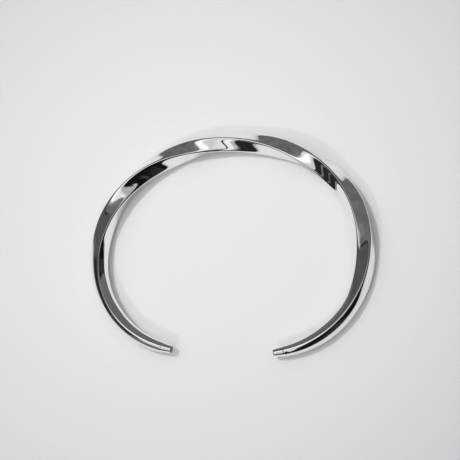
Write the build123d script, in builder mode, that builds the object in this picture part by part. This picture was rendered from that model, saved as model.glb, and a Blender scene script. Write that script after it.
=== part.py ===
"""Open cuff bangle, forged and bent from one square bar of silver.

The bar is twisted by one full turn on its way round the back of the wrist.
Towards both ends it is worked round and slim, and each end finishes in a short
tapered nib with a flat cut face. The whole cuff is one solid.

It lies flat: +Z is up, the mouth between the two ends faces -Y, and the origin
is on the surface that the cuff rests on, under the middle of its outline.
"""

from build123d import *
import os
from math import pi, sqrt

os.makedirs("parts", exist_ok=True)

# The square bar, in millimetres
BAR_WIDTH = 3.50
EDGE_RADIUS = 0.42

# The bar's centre line, in millimetres and degrees. Both halves are alike: a short
# straight end, a bend at the side, a wider one at the shoulder, and the wide back.
STRAIGHT_LENGTH = 1.8
SIDE_RADIUS = 22.2
SIDE_TURN = 68.0
SHOULDER_RADIUS = 25.5
SHOULDER_TURN = 67.4
BACK_RADIUS = 35.8
BACK_TURN = 64.8

# The twist in all, and the lean of a top edge of the bar before the twist starts
TWIST = 360.0
FIRST_LEAN = 12.0

# How the twist gathers along the bar: shares of the bar's length from the right tip,
# and of the whole twist. It is nearly even, with a soft start and a soft end.
TWIST_GROWTH = (
    # along, turned
    (0.12, 0.000),
    (0.22, 0.060),
    (0.28, 0.140),
    (0.35, 0.240),
    (0.46, 0.424),
    (0.54, 0.533),
    (0.62, 0.686),
    (0.70, 0.806),
    (0.79, 0.930),
    (0.90, 1.000),
)

# The forged ends: how far from each tip the bar is plain square again
RIGHT_END_LENGTH = 32.0
LEFT_END_LENGTH = 41.0

# The nib on each tip
NIB_LENGTH = 2.4
NIB_END_WIDTH = 1.75

# Form of a forged end, from its nib to the square bar. Along and slimness are shares
# of the end's length and of the bar's width; roundness runs from 0, a sharp square,
# to 1, a full circle, and None stands for what the plain bar's edges have.
END_FORM = (
    # along, slimness, roundness
    (0.00, 0.63, 0.98),
    (0.17, 0.78, 0.89),
    (0.35, 0.89, 0.80),
    (0.62, 0.94, 0.74),
    (0.80, 0.97, 0.56),
    (1.00, 1.00, None),
)

# Number of stretches that the bar is shaped in between its two nibs
STRETCHES = 36

# Centre line of the bar, in the plane that it lies in, from the right tip to the left
half_turn = SIDE_TURN + SHOULDER_TURN + BACK_TURN / 2
with BuildLine() as centre_line:
    right_end = PolarLine((0, 0), STRAIGHT_LENGTH, 180 - half_turn)
    right_side = JernArc(right_end @ 1, right_end % 1, SIDE_RADIUS, SIDE_TURN)
    right_shoulder = JernArc(right_side @ 1, right_side % 1, SHOULDER_RADIUS, SHOULDER_TURN)
    back = JernArc(right_shoulder @ 1, right_shoulder % 1, BACK_RADIUS, BACK_TURN)
    left_shoulder = JernArc(back @ 1, back % 1, SHOULDER_RADIUS, SHOULDER_TURN)
    left_side = JernArc(left_shoulder @ 1, left_shoulder % 1, SIDE_RADIUS, SIDE_TURN)
    Line(left_side @ 1, left_side @ 1 + left_side % 1 * STRAIGHT_LENGTH)

route = centre_line.wire()
bar_length = route.length


def follow(table, along):
    """The values that a table gives at a place between its rows."""
    if along <= table[0][0]:
        return table[0][1:]
    for low, high in zip(table, table[1:]):
        if along < high[0]:
            part = (along - low[0]) / (high[0] - low[0])
            return tuple(a + part * (b - a) for a, b in zip(low[1:], high[1:]))
    return table[-1][1:]


edge_roundness = EDGE_RADIUS / (BAR_WIDTH / 2)
end_form = [
    (along, slimness, edge_roundness if roundness is None else roundness)
    for along, slimness, roundness in END_FORM
]


def plane_at(distance):
    """Plane square to the bar, its X pointing out of the cuff."""
    share = distance / bar_length
    ahead = route % share
    return Plane(origin=route @ share, x_dir=ahead.cross(Vector(0, 0, 1)), z_dir=ahead)


def lean_at(distance):
    """Degrees that a top edge of the bar leans outward, at a distance from the right tip."""
    (turned,) = follow(TWIST_GROWTH, distance / bar_length)
    return FIRST_LEAN + TWIST * turned


def bar_section(distance):
    """Section of the bar at a distance from its right tip."""
    from_right = (distance - NIB_LENGTH) / (RIGHT_END_LENGTH - NIB_LENGTH)
    from_left = (bar_length - distance - NIB_LENGTH) / (LEFT_END_LENGTH - NIB_LENGTH)
    slimness, roundness = follow(end_form, min(from_right, from_left))
    # Rounding takes no metal off the bar, so a rounder section is a wider one
    width = BAR_WIDTH * slimness / sqrt(1 - (1 - pi / 4) * roundness**2)
    with BuildSketch(plane_at(distance)) as section:
        RectangleRounded(width, width, roundness * width / 2, rotation=45 + lean_at(distance))
    return section.sketch.face()


def nib_end(tip):
    """Cut face of the nib at a tip, which is as round as the neck that it grows from."""
    roundness = end_form[0][2]
    with BuildSketch(plane_at(tip)) as section:
        corner = roundness * NIB_END_WIDTH / 2
        RectangleRounded(NIB_END_WIDTH, NIB_END_WIDTH, corner, rotation=45 + lean_at(tip))
    return section.sketch.face()


# The bar from nib to nib, and the nib on each end of it
with BuildPart() as bar:
    stretch = (bar_length - 2 * NIB_LENGTH) / STRETCHES
    loft([bar_section(NIB_LENGTH + count * stretch) for count in range(STRETCHES + 1)])
    loft([nib_end(0), bar_section(NIB_LENGTH)], ruled=True)
    loft([bar_section(bar_length - NIB_LENGTH), nib_end(bar_length)], ruled=True)

# The cuff, set down with its outline's middle over the origin
outline = bar.part.bounding_box()
with BuildPart() as twisted_cuff:
    with Locations((-outline.center().X, -outline.center().Y, -outline.min.Z)):
        add(bar.part)

twisted_cuff.part.label = "twisted_cuff"
export_step(twisted_cuff.part, "parts/twisted_cuff.step")

size = twisted_cuff.part.bounding_box().size
print("length of the bar", round(bar_length, 2))
print("cuff", round(size.X, 2), "x", round(size.Y, 2), "x", round(size.Z, 2))
print("volume", round(twisted_cuff.part.volume, 1))
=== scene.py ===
# %% [markdown]
# # A twisted silver cuff
# This lesson dresses a cuff bangle that was first built as a solid. The solid is the
# frame: it says how large the cuff is and where it lies. Here the cuff gets a fine,
# smooth surface, polished silver and studio light. Everything is in metres.

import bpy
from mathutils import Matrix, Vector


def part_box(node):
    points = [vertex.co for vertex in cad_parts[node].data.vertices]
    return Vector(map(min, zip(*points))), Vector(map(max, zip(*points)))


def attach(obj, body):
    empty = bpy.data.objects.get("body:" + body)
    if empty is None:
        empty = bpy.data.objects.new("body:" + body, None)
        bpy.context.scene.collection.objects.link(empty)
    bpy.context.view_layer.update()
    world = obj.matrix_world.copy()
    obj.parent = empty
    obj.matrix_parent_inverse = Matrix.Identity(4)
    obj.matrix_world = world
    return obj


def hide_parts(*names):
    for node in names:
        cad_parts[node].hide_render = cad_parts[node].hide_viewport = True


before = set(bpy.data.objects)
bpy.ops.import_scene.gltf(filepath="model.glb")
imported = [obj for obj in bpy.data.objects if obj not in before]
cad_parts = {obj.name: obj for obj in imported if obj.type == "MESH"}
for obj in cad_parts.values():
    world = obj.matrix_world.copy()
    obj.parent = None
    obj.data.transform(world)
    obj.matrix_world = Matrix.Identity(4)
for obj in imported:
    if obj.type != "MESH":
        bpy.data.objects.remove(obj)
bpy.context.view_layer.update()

# %% [markdown]
# ## The bar and its bends
# A smith makes such a cuff from one square bar: the ends are hammered round and slim,
# the middle is twisted, and then the bar is bent round a mandrel. The lesson follows
# the smith, so its sizes are those of the bar and of each bend. A finished cuff could
# also be drawn section by section, but a change of one bend would then change every
# section after it.

# %% Name the sizes of the bar
from math import cos, degrees, pi, radians, sin, sqrt

import bmesh
import bpy
from mathutils import Quaternion, Vector

MM = 0.001
NODE = "twisted_cuff"

BAR_WIDTH = 3.50 * MM
EDGE_RADIUS = 0.42 * MM

STRAIGHT_LENGTH = 1.8 * MM
HALF_ARCS = (
    # radius, degrees
    (22.2 * MM, 68.0),
    (25.5 * MM, 67.4),
    (35.8 * MM, 32.4),
)

half = [(STRAIGHT_LENGTH, 0.0)]
half += [(radius * radians(turn), radians(turn)) for radius, turn in HALF_ARCS]
bends = half + half[::-1]
first_heading = pi - sum(turn for length, turn in half)
bar_length = sum(length for length, turn in bends)
print("the bar is", round(bar_length / MM, 1), "mm long")

# %% Find a place on the centre line


def centre_at(distance):
    """Place and heading on the bar's centre line, so far from its right tip."""
    place, heading = Vector((0, 0, 0)), first_heading
    for length, turn in bends:
        here = min(distance, length)
        half_way = turn * here / length / 2
        chord = here * (sin(half_way) / half_way if half_way else 1)
        heading += half_way
        place += chord * Vector((cos(heading), sin(heading), 0))
        heading += half_way
        distance -= here
    return place, heading


print("the left tip is at", tuple(centre_at(bar_length)[0]), "from the right one")

# %% [markdown]
# ## The twist and the forged ends
# The bar makes one full turn. A bar that is turned by hand takes its twist nearly
# evenly, with a soft start and a soft end. A short table says how the turn gathers
# along it. Another says how slim and how round each end is: it keeps a soft ridge
# nearly to its tip. A third table forms the nibs, each of which starts at a fine step.

# %% Say how the twist gathers
TWIST = radians(360.0)
FIRST_LEAN = radians(12.0)
TWIST_GROWTH = (
    # along, turned
    (0.12, 0.000),
    (0.22, 0.060),
    (0.28, 0.140),
    (0.35, 0.240),
    (0.46, 0.424),
    (0.54, 0.533),
    (0.62, 0.686),
    (0.70, 0.806),
    (0.79, 0.930),
    (0.90, 1.000),
)
print("the bar turns by", round(degrees(TWIST)), "degrees in all")

# %% Say how the ends are formed
RIGHT_END_LENGTH = 32.0 * MM
LEFT_END_LENGTH = 41.0 * MM
END_FORM = (
    # along, slimness, roundness
    (0.00, 0.63, 1.00),
    (0.17, 0.78, 0.86),
    (0.35, 0.89, 0.74),
    (0.62, 0.94, 0.66),
    (0.80, 0.97, 0.42),
    (1.00, 1.00, 0.00),
)

NIB_LENGTH = 2.4 * MM
NIB_FORM = (
    # from the tip, slimness
    (0.00 * MM, 0.415),
    (0.04 * MM, 0.440),
    (0.12 * MM, 0.453),
    (0.80 * MM, 0.497),
    (1.60 * MM, 0.550),
    (2.36 * MM, 0.603),
    (2.39 * MM, 0.607),
    (2.41 * MM, 0.630),
    (2.44 * MM, 0.636),
    (2.90 * MM, 0.636),
    (3.30 * MM, 0.638),
    (3.70 * MM, 0.648),
    (4.10 * MM, 0.669),
)
print("forged, on the right and left:", RIGHT_END_LENGTH / MM, LEFT_END_LENGTH / MM, "mm")

# %% [markdown]
# ## Reading the tables
# A value is read between two rows of its table. Read like that alone it would change
# its pace at each row, and polished metal shows every such kink. So the turn and the
# roundness are also averaged over a short stretch of the bar.

# %% Read a table softly
SOFTNESS = 1.8 * MM
SOFT_STEPS = (-1.0, -0.6, -0.2, 0.2, 0.6, 1.0)


def follow(table, along):
    """The values that a table gives at a place between its rows."""
    if along <= table[0][0]:
        return table[0][1:]
    for low, high in zip(table, table[1:]):
        if along < high[0]:
            part = (along - low[0]) / (high[0] - low[0])
            return tuple(a + part * (b - a) for a, b in zip(low[1:], high[1:]))
    return table[-1][1:]


def softened(value_at, distance):
    """Average of a value over a short stretch of the bar, so that it changes gently."""
    nearby = [value_at(distance + step * SOFTNESS) for step in SOFT_STEPS]
    return sum(nearby) / len(nearby)


print("a value is averaged over", round(2 * SOFTNESS / MM, 1), "mm of the bar")

# %% Tell the lean, the width and the roundness at any place


def lean_at(distance):
    """How far a top edge of the bar leans outward."""
    return FIRST_LEAN + TWIST * follow(TWIST_GROWTH, distance / bar_length)[0]


def end_share(distance):
    """Place between the nearer nib, 0, and where the plain square bar starts, 1."""
    from_right = (distance - NIB_LENGTH) / (RIGHT_END_LENGTH - NIB_LENGTH)
    from_left = (bar_length - distance - NIB_LENGTH) / (LEFT_END_LENGTH - NIB_LENGTH)
    return min(from_right, from_left)


def slimness_at(distance):
    """Width of the bar as a share of its full width."""
    from_tip = min(distance, bar_length - distance)
    if from_tip <= NIB_FORM[-1][0]:
        return follow(NIB_FORM, from_tip)[0]
    return follow(END_FORM, end_share(distance))[0]


def roundness_at(distance):
    """From 0, a sharp square, to 1, a full circle."""
    return follow(END_FORM, end_share(distance))[1]


leans = [lean_at(bar_length * eighths / 8) for eighths in range(9)]
print("a top edge leans", [round(degrees(lean)) for lean in leans], "degrees")

# %% [markdown]
# ## The straight bar
# The bar starts as a cube that is stretched to its length. Planes cut it crosswise
# into short stretches, which lets it bend and twist later, and lengthwise beside each
# edge. The two cuts beside an edge decide how sharp that edge stays when the
# subdivision rounds it: their distance from it is a fixed number of its radii.

# %% Say where the bar is cut
STRETCHES = 116
RADII_TO_CUT = 1.757
EDGE_CUT = RADII_TO_CUT * EDGE_RADIUS
nib_places = [row[0] for row in NIB_FORM]
stretch = (bar_length - 2 * nib_places[-1]) / STRETCHES
ring_places = nib_places + [nib_places[-1] + stretch * n for n in range(1, STRETCHES)]
ring_places += [bar_length - place for place in reversed(nib_places)]
print("a stretch of the bar is", round(stretch / MM, 2), "mm long")

# %% Cut the bar from a block


def only(obj):
    """Select one object and nothing else, and work on it."""
    bpy.ops.object.select_all(action="DESELECT")
    obj.select_set(True)
    bpy.context.view_layer.objects.active = obj


def cut(place, normal):
    """Cut right through the mesh, and keep both sides."""
    bpy.ops.mesh.select_all(action="SELECT")
    bpy.ops.mesh.bisect(plane_co=place, plane_no=normal)


bpy.ops.mesh.primitive_cube_add(
    size=1, location=(0, 0, bar_length / 2), scale=(BAR_WIDTH, BAR_WIDTH, bar_length)
)
bar = bpy.context.object
bar.name = "polished_cuff"
only(bar)
bpy.ops.object.transform_apply(location=True, rotation=True, scale=True)
bpy.ops.object.mode_set(mode="EDIT")
for place in (-BAR_WIDTH / 2 + EDGE_CUT, 0, BAR_WIDTH / 2 - EDGE_CUT):
    cut((place, 0, 0), (1, 0, 0))
    cut((0, place, 0), (0, 1, 0))
for place in ring_places[1:-1]:
    cut((0, 0, place), (0, 0, 1))
bpy.ops.object.mode_set(mode="OBJECT")
print("the bar has", len(bar.data.vertices), "corners after its cuts")

# %% [markdown]
# ## Soft faces
# A polishing wheel takes a little more off the middle of a face than beside its edges.
# So the lines along the face middles are drawn inward by a few hundredths of a
# millimetre, and the subdivision spreads that into a shallow hollow. It is this hollow
# that bends the reflections into an S. The end faces are taken away, and come back once
# the tips have their form.

# %% Hollow the faces
HOLLOW = 0.035 * MM
NEAR_MIDDLE = EDGE_RADIUS / 2
bpy.ops.object.mode_set(mode="EDIT")
bpy.ops.mesh.select_mode(type="VERT")
bpy.ops.mesh.select_all(action="DESELECT")
mesh = bmesh.from_edit_mesh(bar.data)
for corner in mesh.verts:
    corner.select_set(min(abs(corner.co.x), abs(corner.co.y)) < NEAR_MIDDLE)
bmesh.update_edit_mesh(bar.data)
hollowed = 1 - HOLLOW / (BAR_WIDTH / 2)
bpy.ops.transform.resize(value=(hollowed, hollowed, 1), center_override=(0, 0, 0))
bpy.ops.object.mode_set(mode="OBJECT")
print("each face is", HOLLOW / MM, "mm hollow")

# %% Take the end faces away
FACING_ENDWISE = 0.9
bpy.ops.object.mode_set(mode="EDIT")
bpy.ops.mesh.select_mode(type="FACE")
bpy.ops.mesh.select_all(action="DESELECT")
mesh = bmesh.from_edit_mesh(bar.data)
for face in mesh.faces:
    face.select_set(abs(face.normal.z) > FACING_ENDWISE)
bmesh.update_edit_mesh(bar.data)
bpy.ops.mesh.delete(type="FACE")
bpy.ops.object.mode_set(mode="OBJECT")
print("the open bar has", len(bar.data.polygons), "faces")

# %% [markdown]
# ## Forging the ends round
# A vertex group tells how far each ring has been hammered round, from not at all in the
# middle of the bar to fully at its tips. It is laid on while the bar still has few
# rings, and the subdivision spreads it over the fine ones. The Cast modifier then
# pushes the rings towards a cylinder of the same metal: its circle has the area of the
# square.

# %% Mark the forged ends
FORGED_GROUP = "forged_round"
forged = bar.vertex_groups.new(name=FORGED_GROUP)
for corner in bar.data.vertices:
    forged.add([corner.index], softened(roundness_at, corner.co.z), "REPLACE")
print("marked", len(bar.data.vertices), "corners")

# %% Make the bar fine, and forge its ends
SUBDIVISIONS = 2
finer = bar.modifiers.new("finer", "SUBSURF")
finer.levels = finer.render_levels = SUBDIVISIONS
bpy.ops.object.modifier_apply(modifier="finer")

rounder = bar.modifiers.new("rounder", "CAST")
rounder.cast_type = "CYLINDER"
rounder.use_z = False
rounder.use_radius_as_size = False
rounder.size = BAR_WIDTH / sqrt(pi)
rounder.factor = 1.0
rounder.vertex_group = FORGED_GROUP
bpy.ops.object.modifier_apply(modifier="rounder")
print("the bar has", len(bar.data.vertices), "corners, and its ends are forged")

# %% Note where each point is while the bar is straight
STRAIGHT_PLACE = "place_on_straight_bar"
noted = bar.data.attributes.new(STRAIGHT_PLACE, "FLOAT_VECTOR", "POINT")
for corner, note in zip(bar.data.vertices, noted.data):
    note.vector = corner.co
print("noted", len(noted.data), "places, for the lines of the polish")

# %% [markdown]
# ## Twisting, drawing out and bending
# All three are done at once by a Curve modifier. It lays the bar along a drawn line,
# turns it by the line's tilt and slims it by the line's radius. The line is a Bezier
# curve with a point at each ring, and handles a third of the way to the next one, so
# it runs as smoothly as the mandrel did.

# %% Draw the line that the bar is bent along
STEPS_BETWEEN_POINTS = 6
guide_curve = bpy.data.curves.new("centre_line", "CURVE")
guide_curve.dimensions = "3D"
guide_curve.twist_mode = "Z_UP"
guide_curve.resolution_u = STEPS_BETWEEN_POINTS
guide_curve.use_radius = True
spline = guide_curve.splines.new("BEZIER")
spline.bezier_points.add(len(ring_places) - 1)
for count, (point, distance) in enumerate(zip(spline.bezier_points, ring_places)):
    place, heading = centre_at(distance)
    ahead = Vector((cos(heading), sin(heading), 0))
    before = distance - ring_places[max(count - 1, 0)]
    after = ring_places[min(count + 1, len(ring_places) - 1)] - distance
    point.co = place
    point.handle_left = place - ahead * (before or after) / 3
    point.handle_right = place + ahead * (after or before) / 3
    point.tilt = pi / 4 + softened(lean_at, distance)
    point.radius = slimness_at(distance)
guide = bpy.data.objects.new("centre_line", guide_curve)
bpy.context.collection.objects.link(guide)
print("the line has", len(spline.bezier_points), "points")

# %% Bend the bar
only(bar)
bent = bar.modifiers.new("bent", "CURVE")
bent.object = guide
bent.deform_axis = "POS_Z"
bpy.ops.object.modifier_apply(modifier="bent")
bpy.data.objects.remove(guide)
print("the bar is bent:", [round(side / MM, 2) for side in bar.dimensions], "mm")

# %% [markdown]
# ## Closing the tips
# Each nib ends in a flat face that was cut and filed. The open rim is extruded into
# smaller and smaller rings and gathered at its middle, as a face is closed by hand.

# %% Close the tips
RIM_STEPS = (0.94, 0.6, 0.5)


def close_tip(distance):
    """Fill the open rim at one end of the bar."""
    tip = centre_at(distance)[0]
    bpy.ops.mesh.select_all(action="DESELECT")
    mesh = bmesh.from_edit_mesh(bar.data)
    for edge in mesh.edges:
        near = (edge.verts[0].co - tip).length < BAR_WIDTH
        edge.select_set(edge.is_boundary and near)
    bmesh.update_edit_mesh(bar.data)
    for share in RIM_STEPS:
        bpy.ops.mesh.extrude_region_move()
        bpy.ops.transform.resize(value=(share, share, share), center_override=tip)
    bpy.ops.mesh.merge(type="CENTER")


only(bar)
bpy.ops.object.mode_set(mode="EDIT")
bpy.ops.mesh.select_mode(type="EDGE")
close_tip(0)
close_tip(bar_length)
bpy.ops.mesh.select_all(action="SELECT")
bpy.ops.mesh.normals_make_consistent(inside=False)
bpy.ops.object.mode_set(mode="OBJECT")
bpy.ops.object.shade_smooth()
print("the cuff has", len(bar.data.polygons), "faces")

# %% [markdown]
# ## Laying it in its place
# The right tip was the start of the drawn line. The cuff now moves to where the solid
# lies: the middle of its outline over the solid's, and its lowest point on the floor.

# %% Move the cuff to the solid's place
low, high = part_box(NODE)
corners = [corner.co for corner in bar.data.vertices]
own_low = Vector([min(corner[axis] for corner in corners) for axis in range(3)])
own_high = Vector([max(corner[axis] for corner in corners) for axis in range(3)])
shift = (low + high) / 2 - (own_low + own_high) / 2
shift.z = low.z - own_low.z
only(bar)
bpy.ops.transform.translate(value=shift)
bpy.ops.object.transform_apply(location=True, rotation=True, scale=True)
print("moved by", [round(way / MM, 3) for way in shift], "mm")
print("size", [round((b - a) / MM, 3) for a, b in zip(own_low, own_high)], "mm")
print("solid", [round((b - a) / MM, 3) for a, b in zip(low, high)], "mm")

# %% Let the cuff stand for the solid
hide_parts(NODE)
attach(bar, "root")

# %% [markdown]
# ## Small tools for materials
# A material in Blender is a graph of nodes. It could be laid by hand in the shader
# editor, but a script that lays it can be read, kept and changed. A few helpers keep
# the script short: one adds a node, one fills a socket with a plain value or with
# another node's result, and the others do the sums that come back again and again.

# %% Helpers that lay nodes and fill their sockets


def add_node(tree, kind, **settings):
    """Add a shader node, with its settings."""
    node = tree.nodes.new("ShaderNode" + kind)
    for setting, value in settings.items():
        setattr(node, setting, value)
    return node


def feed(tree, sockets, sources):
    """Fill sockets in turn, each with another node's output or with a plain value."""
    for socket, source in zip(sockets, sources):
        if isinstance(source, bpy.types.NodeSocket):
            tree.links.new(source, socket)
        else:
            socket.default_value = source


print("nodes can be laid and filled")

# %% Helpers for the sums that come back


def sum_up(tree, operation, *values):
    """Result of a Math node."""
    node = add_node(tree, "Math", operation=operation)
    feed(tree, node.inputs, values)
    return node.outputs["Value"]


def soft_step(tree, value, low, high, start=0.0, end=1.0):
    """The smooth way of a value from start to end, as it goes from low to high."""
    node = add_node(tree, "MapRange", interpolation_type="SMOOTHSTEP")
    names = ("Value", "From Min", "From Max", "To Min", "To Max")
    feed(tree, [node.inputs[name] for name in names], (value, low, high, start, end))
    return node.outputs["Result"]


def blend(tree, share, first, second):
    """Colour between two colours."""
    node = add_node(tree, "Mix", data_type="RGBA")
    feed(tree, [socket for socket in node.inputs if socket.enabled], (share, first, second))
    return next(socket for socket in node.outputs if socket.enabled)


def noise(tree, place, scale, detail=2.0):
    """Soft random pattern, from 0 to 1, with so many cells a metre."""
    node = add_node(tree, "TexNoise")
    names = ("Vector", "Scale", "Detail")
    feed(tree, [node.inputs[name] for name in names], (place, scale, detail))
    return node.outputs["Fac"]


print("sums, steps, blends and noise are ready")

# %% [markdown]
# ## Polished silver
# Silver has hardly a colour of its own: it gives back nearly all of the light, a little
# less of the blue. What tells it from chrome is the hand that polished it. Its faces
# wave by a few thousandths of a millimetre, which bends each reflection a little, and
# the last polish leaves hair-fine lines along the bar. The waves are a pattern in
# space, but the lines have to follow the bar round its bends, so they are drawn on the
# place that each point had while the bar was still straight.

# %% Make the silver
silver = bpy.data.materials.new("polished_silver")
silver.use_nodes = True
tree = silver.node_tree
shader = tree.nodes["Principled BSDF"]
shader.inputs["Metallic"].default_value = 1.0
in_space = add_node(tree, "TexCoord").outputs["Object"]
on_bar = add_node(tree, "Attribute", attribute_name=STRAIGHT_PLACE).outputs["Vector"]
print("silver starts with", len(tree.nodes), "nodes")

# %% Tell the cut faces of the tips from the rest
RIM_WIDTH = 0.08 * MM
FULLY_CUT = RIM_WIDTH / 4
along = add_node(tree, "SeparateXYZ")
feed(tree, along.inputs, (on_bar,))
from_end = sum_up(tree, "SUBTRACT", bar_length, along.outputs["Z"])
from_tip = sum_up(tree, "MINIMUM", along.outputs["Z"], from_end)
cut_face = soft_step(tree, from_tip, RIM_WIDTH, FULLY_CUT)
print("the cut faces are known by the first", RIM_WIDTH / MM, "mm of the bar")

# %% Lay hair-fine lines along the bar
LINES_ACROSS = 9 / MM
LINES_ALONG = 0.12 / MM
WORN_CELLS = 0.22 / MM
stretched = add_node(tree, "Mapping")
stretched.inputs["Scale"].default_value = (LINES_ACROSS, LINES_ACROSS, LINES_ALONG)
feed(tree, stretched.inputs, (on_bar,))
hair_lines = noise(tree, stretched.outputs["Vector"], 1.0, detail=3.0)
worn_patches = noise(tree, in_space, WORN_CELLS, detail=3.0)
print("the polish has", round(LINES_ACROSS * MM), "lines in a millimetre")

# %% Let the faces wave
WAVE_CELLS = 0.30 / MM
WAVE_HEIGHT = 0.010 * MM
LINE_HEIGHT = 0.00015 * MM
waves = noise(tree, in_space, WAVE_CELLS, detail=1.0)
waved = add_node(tree, "Bump")
waved.inputs["Distance"].default_value = WAVE_HEIGHT
feed(tree, (waved.inputs["Height"],), (waves,))
lined = add_node(tree, "Bump")
lined.inputs["Distance"].default_value = LINE_HEIGHT
sockets = (lined.inputs["Height"], lined.inputs["Normal"])
feed(tree, sockets, (hair_lines, waved.outputs["Normal"]))
feed(tree, (shader.inputs["Normal"],), (lined.outputs["Normal"],))
print("the waves of a face are less than", round(WAVE_HEIGHT / MM, 3), "mm high")

# %% Give the metal its colour and polish
WHITE_SILVER = (0.95, 0.935, 0.91, 1.0)
WORN_SILVER = (0.92, 0.905, 0.88, 1.0)
# The cut faces at the tips get a painted shade: their dark colour stands for the shadowed
# floor that they mirror.
CUT_FACE_PAINTED_SHADE = (0.10, 0.097, 0.092, 1.0)
WORN_FROM, WORN_TO = 0.35, 0.75
DULL_FROM, DULL_TO = 0.12, 0.45
BRIGHT_ROUGHNESS, DULL_ROUGHNESS, FILED_ROUGHNESS = 0.015, 0.05, 0.22
worn = soft_step(tree, worn_patches, WORN_FROM, WORN_TO)
polished = blend(tree, worn, WHITE_SILVER, WORN_SILVER)
# Painted shade on the cut faces, laid over the polished silver.
colour = blend(tree, cut_face, polished, CUT_FACE_PAINTED_SHADE)
wear = sum_up(tree, "MULTIPLY", worn_patches, hair_lines)
polish = soft_step(tree, wear, DULL_FROM, DULL_TO, BRIGHT_ROUGHNESS, DULL_ROUGHNESS)
filed = sum_up(tree, "MULTIPLY", cut_face, FILED_ROUGHNESS)
roughness = sum_up(tree, "MAXIMUM", polish, filed)
feed(tree, (shader.inputs["Base Color"], shader.inputs["Roughness"]), (colour, roughness))
bar.data.materials.clear()
bar.data.materials.append(silver)
print("silver has", len(tree.nodes), "nodes")

# %% [markdown]
# ## The floor
# The cuff lies on a plain pale sheet. A sheet that is lit by one large lamp is lightest
# near the middle and falls off towards its corners, so the sheet's colour does too. It
# is very slightly uneven, as paper is.

# %% Lay the floor
FLOOR_SIDE = 1.2
PALE_MIDDLE = (-15 * MM, 12 * MM, 0.0)
FALL_OFF = 100 * MM
PAPER_ROUGHNESS = 0.75
PAPER_SHINE = 0.2
bpy.ops.object.select_all(action="DESELECT")
bpy.ops.mesh.primitive_plane_add(size=FLOOR_SIDE)
floor = bpy.context.object
floor.name = "floor"
paper = bpy.data.materials.new("pale_paper")
paper.use_nodes = True
tree = paper.node_tree
shader = tree.nodes["Principled BSDF"]
shader.inputs["Roughness"].default_value = PAPER_ROUGHNESS
shader.inputs["Specular IOR Level"].default_value = PAPER_SHINE
place = add_node(tree, "TexCoord").outputs["Object"]
reach = add_node(tree, "VectorMath", operation="DISTANCE")
feed(tree, reach.inputs, (place, PALE_MIDDLE))
print("the floor is", FLOOR_SIDE, "m wide")

# %% Colour the floor
PALE = (0.875, 0.87, 0.88, 1.0)
FAR = (0.60, 0.59, 0.61, 1.0)
GRAIN_CELLS = 1.5 / MM
GRAIN_SHADE = (0.985, 0.985, 0.985, 1)
NO_SHADE = (1, 1, 1, 1)
NOISE_LOW, NOISE_HIGH = 0.3, 0.7
fallen = sum_up(tree, "POWER", sum_up(tree, "DIVIDE", reach.outputs["Value"], FALL_OFF), 2.0)
shaded = blend(tree, sum_up(tree, "MINIMUM", fallen, 1.0), PALE, FAR)
grain = noise(tree, place, GRAIN_CELLS, detail=4.0)
grained = blend(tree, soft_step(tree, grain, NOISE_LOW, NOISE_HIGH), GRAIN_SHADE, NO_SHADE)
coloured = add_node(tree, "VectorMath", operation="MULTIPLY")
feed(tree, coloured.inputs, (shaded, grained))
feed(tree, (shader.inputs["Base Color"],), (coloured.outputs["Vector"],))
floor.data.materials.append(paper)
print("the paper has", len(tree.nodes), "nodes")

# %% [markdown]
# ## The studio that the silver mirrors
# Polished metal is lit by what stands round it. On the bench a large soft light hangs
# over the cuff, and black and grey cards stand about it: without the dark cards silver
# looks like milky glass. The cards could be built as planes, but each would also throw
# its shade on the floor. So they are painted on the world instead, each one a flat card
# with soft edges, seen in one direction from the cuff.
#
# One card is a node group. It compares the direction that a ray looks in with the
# card's middle, and with the two directions that the card is wide and tall in. That
# gives two angles, and the card is where both are small enough.

# %% Make one card, as a node group


def along_direction(tree, first, second):
    """How far one direction runs along another."""
    node = add_node(tree, "VectorMath", operation="DOT_PRODUCT")
    feed(tree, node.inputs, (first, second))
    return node.outputs["Value"]


card = bpy.data.node_groups.new("studio_card", "ShaderNodeTree")
for name in ("Direction", "Middle", "Across", "Up"):
    card.interface.new_socket(name, in_out="INPUT", socket_type="NodeSocketVector")
for name in ("Half Width", "Half Height", "Softness"):
    card.interface.new_socket(name, in_out="INPUT", socket_type="NodeSocketFloat")
card.interface.new_socket("Mask", in_out="OUTPUT", socket_type="NodeSocketFloat")
given = card.nodes.new("NodeGroupInput").outputs
mask = card.nodes.new("NodeGroupOutput").inputs
ahead = along_direction(card, given["Direction"], given["Middle"])
outer_edge = sum_up(card, "MULTIPLY", given["Softness"], -1.0)
inside = []
for side, half_size in (("Across", "Half Width"), ("Up", "Half Height")):
    aside = along_direction(card, given["Direction"], given[side])
    angle = sum_up(card, "ABSOLUTE", sum_up(card, "ARCTAN2", aside, ahead))
    left_over = sum_up(card, "SUBTRACT", given[half_size], angle)
    inside.append(soft_step(card, left_over, outer_edge, given["Softness"]))
feed(card, mask, (sum_up(card, "MULTIPLY", *inside),))
print("a card has", len(card.nodes), "nodes")

# %% [markdown]
# The table below hangs the cards. A place is given as on a map of the sky with the
# zenith in its middle: degrees to the east (+X) and degrees to the north (+Y). A card
# is turned while it is overhead, and then carried out to its place. Cards that are
# later in the table hang in front of those before.

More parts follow.
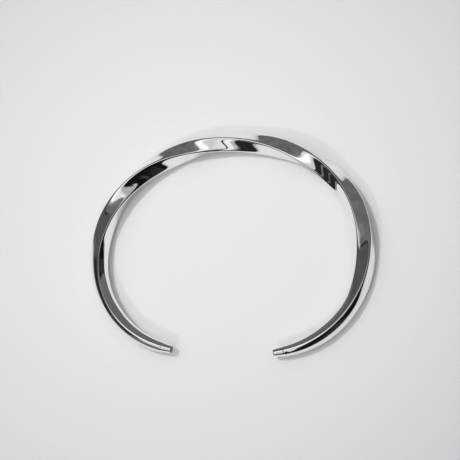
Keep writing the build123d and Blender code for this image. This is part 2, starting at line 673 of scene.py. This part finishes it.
# %% Say where the cards hang
ROOM = (0.137, 0.135, 0.137)
CARDS = (
    # name, east, north, half width, half height, turned, softness, colour
    ("dark_corner", -50, 22, 24, 14, 0, 4, (0.085, 0.085, 0.087)),
    ("blue_gleam", -5, 15, 12, 3.5, 12, 2.5, (0.155, 0.169, 0.2)),
    ("dark_edge", -26, 17, 2, 5.5, 20, 1, (0.035, 0.035, 0.036)),
    ("white_sheet", -16, -15, 19, 23, -12, 1.5, (0.7, 0.7, 0.71)),
    ("white_sheet_end", 5, 2, 13, 9, 14, 2.5, (0.9, 0.9, 0.9)),
    ("key_light", -16, 0, 14, 7, 15, 5, (1.15, 1.15, 1.17)),
    ("right_glow", 18, -1, 11, 14, 0, 3, (0.45, 0.45, 0.45)),
    ("low_white_card", -9, -47, 10, 6, 0, 1.5, (0.86, 0.86, 0.88)),
    ("low_card_foot", -11, -54, 9, 3, 0, 1.5, (0.52, 0.52, 0.53)),
    ("dark_seam", -5, -40, 9, 1.3, -4, 0.8, (0.015, 0.015, 0.015)),
    ("front_dark", -20, -72, 9, 14, -25, 2, (0.02, 0.02, 0.022)),
    ("black_card", 30, -46, 24, 37, 0, 2, (0.008, 0.008, 0.009)),
    ("low_charcoal_card", 58, -50, 14, 14, 0, 3, (0.033, 0.033, 0.033)),
    ("light_notch", 28, -11, 6, 4, -20, 1, (0.42, 0.42, 0.42)),
    ("charcoal_card", 36, -27, 6, 8, 20, 3, (0.055, 0.055, 0.058)),
    ("charcoal_strip", 41, -54, 4, 11, 0, 3, (0.024, 0.024, 0.024)),
    ("right_black_card", 62, 0, 35, 30, 0, 1.5, (0.006, 0.006, 0.006)),
    ("right_charcoal_strip", 55, 28, 32, 5.5, 26, 1, (0.03, 0.031, 0.03)),
    ("left_dark_card", -61, -27, 32, 14, 24, 1.5, (0.02, 0.02, 0.023)),
    ("left_black_card", -66, -2, 14, 15, 0, 2, (0.018, 0.018, 0.02)),
    ("left_stripe", -48, -24, 2.6, 13, 24, 1.2, (0.15, 0.165, 0.2)),
    ("left_far_stripe", -65, -31, 1.8, 9, 24, 1.2, (0.12, 0.12, 0.12)),
)
print("the brightest card is", max(CARDS, key=lambda row: row[-1])[0])

# %% Paint the cards on the world
world = bpy.data.worlds.new("studio")
bpy.context.scene.world = world
world.use_nodes = True
tree = world.node_tree
looking = add_node(tree, "TexCoord").outputs["Generated"]
seen = (*ROOM, 1.0)
for name, east, north, half_width, half_height, turned, softness, colour in CARDS:
    out_axis = Vector((-north, east, 0)) if east or north else Vector((1, 0, 0))
    carried = Quaternion(out_axis, radians(sqrt(east**2 + north**2)))
    rolled = carried @ Quaternion((0, 0, 1), radians(turned))
    hung = add_node(tree, "Group", node_tree=card, label=name)
    directions = [rolled @ Vector(axis) for axis in ((0, 0, 1), (1, 0, 0), (0, 1, 0))]
    angles = [radians(angle) for angle in (half_width, half_height, softness)]
    feed(tree, hung.inputs, (looking, *directions, *angles))
    seen = blend(tree, hung.outputs["Mask"], seen, (*colour, 1.0))
print(len(CARDS), "cards hang round the cuff")

# %% [markdown]
# No card is lit quite evenly, and none is quite flat. A soft random pattern over the
# directions lightens and darkens all of them a little, which the bent metal draws out
# into streaks.

# %% Make the cards a little uneven
PATCHES_PER_RADIAN = 5.0
DIMMEST, BRIGHTEST = 0.84, 1.14
patches = noise(tree, looking, PATCHES_PER_RADIAN, detail=4.0)
brightness = soft_step(tree, patches, NOISE_LOW, NOISE_HIGH, DIMMEST, BRIGHTEST)
uneven = add_node(tree, "VectorMath", operation="SCALE")
feed(tree, (uneven.inputs["Vector"], uneven.inputs["Scale"]), (seen, brightness))
seen = uneven.outputs["Vector"]
print("the cards vary from", DIMMEST, "to", BRIGHTEST, "of their colour")

# %% [markdown]
# Below its horizon the world has the floor's colour, because the real floor goes on
# past the edge of the modelled one. The camera itself sees a plain pale backdrop where
# it looks past the floor, and never the cards.

# %% Close the world below, and behind for the camera
FLOOR_GLOW = (0.80, 0.785, 0.78, 1.0)
BACKDROP = (0.66, 0.66, 0.67, 1.0)
HORIZON_SOFTNESS = 0.03
height = add_node(tree, "SeparateXYZ")
feed(tree, height.inputs, (looking,))
above = soft_step(tree, height.outputs["Z"], -HORIZON_SOFTNESS, HORIZON_SOFTNESS)
seen = blend(tree, above, FLOOR_GLOW, seen)
for_camera = add_node(tree, "LightPath").outputs["Is Camera Ray"]
seen = blend(tree, for_camera, seen, BACKDROP)
feed(tree, (tree.nodes["Background"].inputs["Color"],), (seen,))
print("the world has", len(tree.nodes), "nodes")

# %% [markdown]
# ## The lamps
# The cards light the floor only softly, so three lamps add the shadows that set the
# cuff down: a main one high on the left, a weaker one low in front, and a very wide
# one that stands for the rest of the room. The silver doesn't mirror them, because
# their place in the mirror is taken by the bright card.

# %% Set up the lamps
LAMP_DISTANCE = 0.3
LAMPS = (
    # name, azimuth, elevation, strength, width
    ("main_light", 162, 69, 0.85, 4),
    ("low_light", 250, 42, 0.34, 4),
    ("room_light", 160, 80, 1.32, 110),
)
for name, azimuth, elevation, strength, width in LAMPS:
    swung = Quaternion((0, 0, 1), radians(azimuth))
    facing = swung @ Quaternion((0, 1, 0), radians(90 - elevation))
    hung_at = facing @ Vector((0, 0, LAMP_DISTANCE))
    bpy.ops.object.light_add(type="SUN", location=hung_at, rotation=facing.to_euler())
    lamp = bpy.context.object
    lamp.name = name
    lamp.data.energy = strength
    lamp.data.angle = radians(width)
    lamp.visible_glossy = False
print(len(LAMPS), "lamps light the floor")

# %% [markdown]
# ## The camera
# The picture looks down at the cuff from its front right, about 69 degrees above the
# floor. The camera is swung round the upright axis, tilted down from straight above,
# and rolled back until the cuff stands upright in the picture. Its lens then follows
# from the width of the floor that fills the frame. The standard view transform keeps
# the whites white: the default one greys them, to save highlights that this studio
# doesn't have.

# %% Place the camera
FRAME_WIDTH = 105.02 * MM
CAMERA_DISTANCE = 400 * MM
CAMERA_SIDE = radians(-52.61)
CAMERA_TILT = radians(21.15)
CAMERA_ROLL = radians(55.56)
LOOK_AT = Vector((-0.35, 2.56, 3.37)) * MM
NEAREST, FARTHEST = 0.01, 10
aim = Quaternion((0, 0, 1), CAMERA_SIDE) @ Quaternion((0, 1, 0), CAMERA_TILT)
aim = aim @ Quaternion((0, 0, 1), CAMERA_ROLL)
bpy.ops.object.camera_add(location=LOOK_AT + aim @ Vector((0, 0, CAMERA_DISTANCE)))
camera = bpy.context.object
camera.rotation_euler = aim.to_euler()
camera.data.lens = camera.data.sensor_width * CAMERA_DISTANCE / FRAME_WIDTH
camera.data.clip_start = NEAREST
camera.data.clip_end = FARTHEST
bpy.context.scene.camera = camera
bpy.context.scene.view_settings.view_transform = "Standard"
print("the camera is at", [round(way / MM) for way in camera.location], "mm")
